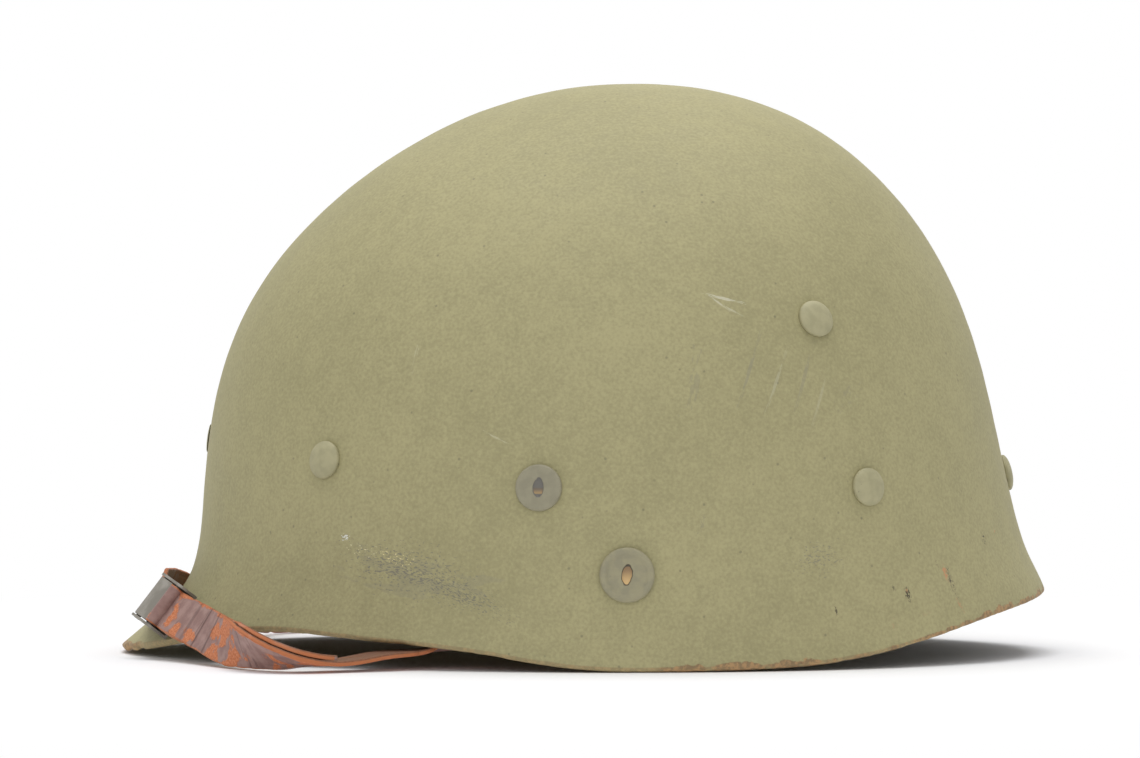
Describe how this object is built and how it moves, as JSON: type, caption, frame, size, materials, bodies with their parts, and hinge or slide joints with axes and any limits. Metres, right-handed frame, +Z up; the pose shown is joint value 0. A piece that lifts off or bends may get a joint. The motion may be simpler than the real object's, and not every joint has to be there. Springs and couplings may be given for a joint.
{
  "type": "helmet liner",
  "caption": "Fibre liner of a steel pot helmet: painted domed shell with a short visor, riveted webbing, clipped leather sweatband and a leather chinstrap over the visor.",
  "frame": {"origin": "on the table under the middle of the overall box, liner standing on its rim", "axes": "visor towards -X, rear towards +X, wearer's left towards -Y, +Z up"},
  "size_m": [0.2759, 0.238, 0.1689],
  "materials": {
    "painted_fibre": "matte gritty olive drab paint on laminated fibre",
    "painted_steel": "olive drab painted steel rivets and studs",
    "bare_steel": "dull zinc plated steel washers and clips",
    "olive_web": "woven cotton webbing, olive drab",
    "brown_leather": "aged russet leather, flaked in places",
    "sweat_leather": "tanned leather sweatband",
    "buckle_steel": "worn painted steel buckle",
    "eyelet_brass": "blackened brass eyelet"
  },
  "bodies": {
    "root": {"band_clip_front_left": "bare_steel", "band_clip_front_right": "bare_steel", "band_clip_rear_left": "bare_steel", "band_clip_rear_right": "bare_steel", "band_clip_side_left": "bare_steel", "band_clip_side_right": "bare_steel", "buckle_frame": "buckle_steel", "buckle_pin": "buckle_steel", "chinstrap_long": "brown_leather", "chinstrap_short": "brown_leather", "chinstrap_stud_left": "painted_steel", "chinstrap_stud_right": "painted_steel", "crown_strap_front": "olive_web", "crown_strap_rear": "olive_web", "crown_strap_side": "olive_web", "insignia_eyelet": "eyelet_brass", "liner_shell": "painted_fibre", "nape_strap": "olive_web", "rivet_front_left": "painted_steel", "rivet_front_right": "painted_steel", "rivet_nape_left": "painted_steel", "rivet_nape_rear": "painted_steel", "rivet_nape_right": "painted_steel", "rivet_rear_left": "painted_steel", "rivet_rear_right": "painted_steel", "rivet_side_left": "painted_steel", "rivet_side_right": "painted_steel", "strap_clip_left": "bare_steel", "strap_clip_right": "bare_steel", "strap_rivet_left": "bare_steel", "strap_rivet_right": "bare_steel", "suspension_band": "olive_web", "sweatband": "sweat_leather", "sweatband_rivets": "bare_steel", "washer_front_left": "bare_steel", "washer_front_right": "bare_steel", "washer_nape_left": "bare_steel", "washer_nape_rear": "bare_steel", "washer_nape_right": "bare_steel", "washer_rear_left": "bare_steel", "washer_rear_right": "bare_steel", "washer_side_left": "bare_steel", "washer_side_right": "bare_steel"},
    "cam": {"buckle_cam": "buckle_steel"},
    "slider": {"size_slider": "bare_steel"}
  },
  "joints": [
    {"name": "buckle_cam_hinge", "type": "hinge", "parent": "root", "child": "cam", "pos_m": [-0.12488, -0.03615, 0.01756], "axis": [-0.6012, -0.0935, -0.7936], "range_deg": [0, 75]},
    {"name": "size_slider_slide", "type": "hinge", "parent": "root", "child": "slider", "pos_m": [0.03611, 0, 0], "axis": [0, 0, 1], "range_deg": [-5, 5]}
  ]
}
